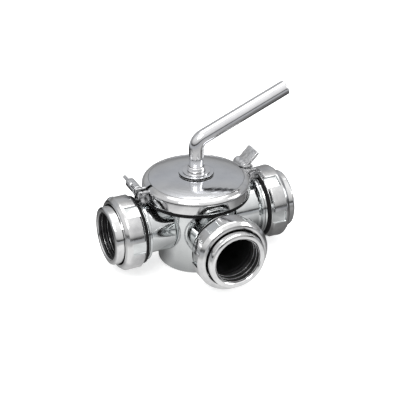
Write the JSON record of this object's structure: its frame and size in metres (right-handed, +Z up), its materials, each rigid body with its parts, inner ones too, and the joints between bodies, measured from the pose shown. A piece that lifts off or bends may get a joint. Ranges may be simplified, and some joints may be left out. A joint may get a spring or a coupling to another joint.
{
  "type": "three way valve",
  "caption": "Stainless hygienic three-way rotary plug valve with round slotted pipe unions, a clamped domed cover and a bent bar handle.",
  "frame": {"origin": "centre of the drum's flat bottom, on the rotor's axis", "axes": "+Z up along the rotor's axis, +X along the right port, -Y along the front port, -X along the left port"},
  "size_m": [0.2667, 0.2044, 0.2368],
  "materials": {
    "body_steel": "polished stainless steel, fine polishing marks",
    "cover_steel": "polished stainless steel",
    "clamp_steel": "polished cast stainless steel",
    "fastener_steel": "machined stainless steel",
    "handle_steel": "polished stainless bar",
    "liner_steel": "turned and polished stainless steel",
    "nut_steel": "polished stainless steel with machining marks",
    "ptfe": "white PTFE",
    "seal_rubber": "black EPDM"
  },
  "bodies": {
    "valve_body": {"base_bush": "ptfe", "cover": "cover_steel", "cover_gasket": "seal_rubber", "front_clamp_half": "clamp_steel", "front_gasket": "seal_rubber", "front_liner": "liner_steel", "front_stub": "body_steel", "gland_ring": "fastener_steel", "left_clamp_bolt": "fastener_steel", "left_gasket": "seal_rubber", "left_liner": "liner_steel", "left_stub": "body_steel", "left_washer": "fastener_steel", "lower_o_ring": "seal_rubber", "rear_clamp_half": "clamp_steel", "right_clamp_bolt": "fastener_steel", "right_gasket": "seal_rubber", "right_liner": "liner_steel", "right_stub": "body_steel", "right_washer": "fastener_steel", "rotor_spring": "fastener_steel", "seat_sleeve": "ptfe", "stem_bush": "ptfe", "thrust_washer": "ptfe", "upper_o_ring": "seal_rubber", "valve_body": "body_steel"},
    "turning_plug": {"rotor": "body_steel", "stem": "body_steel", "handle": "handle_steel", "handle_collar": "handle_steel", "set_screw": "fastener_steel"},
    "left_nut": {"left_union_nut": "nut_steel"},
    "front_nut": {"front_union_nut": "nut_steel"},
    "right_nut": {"right_union_nut": "nut_steel"},
    "right_wing": {"right_wing_nut": "clamp_steel"},
    "left_wing": {"left_wing_nut": "clamp_steel"}
  },
  "joints": [
    {"name": "handle_turn", "type": "hinge", "parent": "valve_body", "child": "turning_plug", "pos_m": [0, 0, 0.1], "axis": [0, 0, 1], "continuous": true},
    {"name": "left_nut_spin", "type": "hinge", "parent": "valve_body", "child": "left_nut", "pos_m": [-0.1, 0, 0.06], "axis": [-1, 0, 0], "continuous": true},
    {"name": "front_nut_spin", "type": "hinge", "parent": "valve_body", "child": "front_nut", "pos_m": [0, -0.1, 0.06], "axis": [0, -1, 0], "continuous": true},
    {"name": "right_nut_spin", "type": "hinge", "parent": "valve_body", "child": "right_nut", "pos_m": [0.1, 0, 0.06], "axis": [1, 0, 0], "continuous": true},
    {"name": "right_wing_turn", "type": "hinge", "parent": "valve_body", "child": "right_wing", "pos_m": [0.08, 0.0248, 0.111], "axis": [0, -1, 0], "range_deg": [-33, 45]},
    {"name": "left_wing_turn", "type": "hinge", "parent": "valve_body", "child": "left_wing", "pos_m": [-0.08, 0.0248, 0.111], "axis": [0, 1, 0], "range_deg": [-40, 38]}
  ]
}
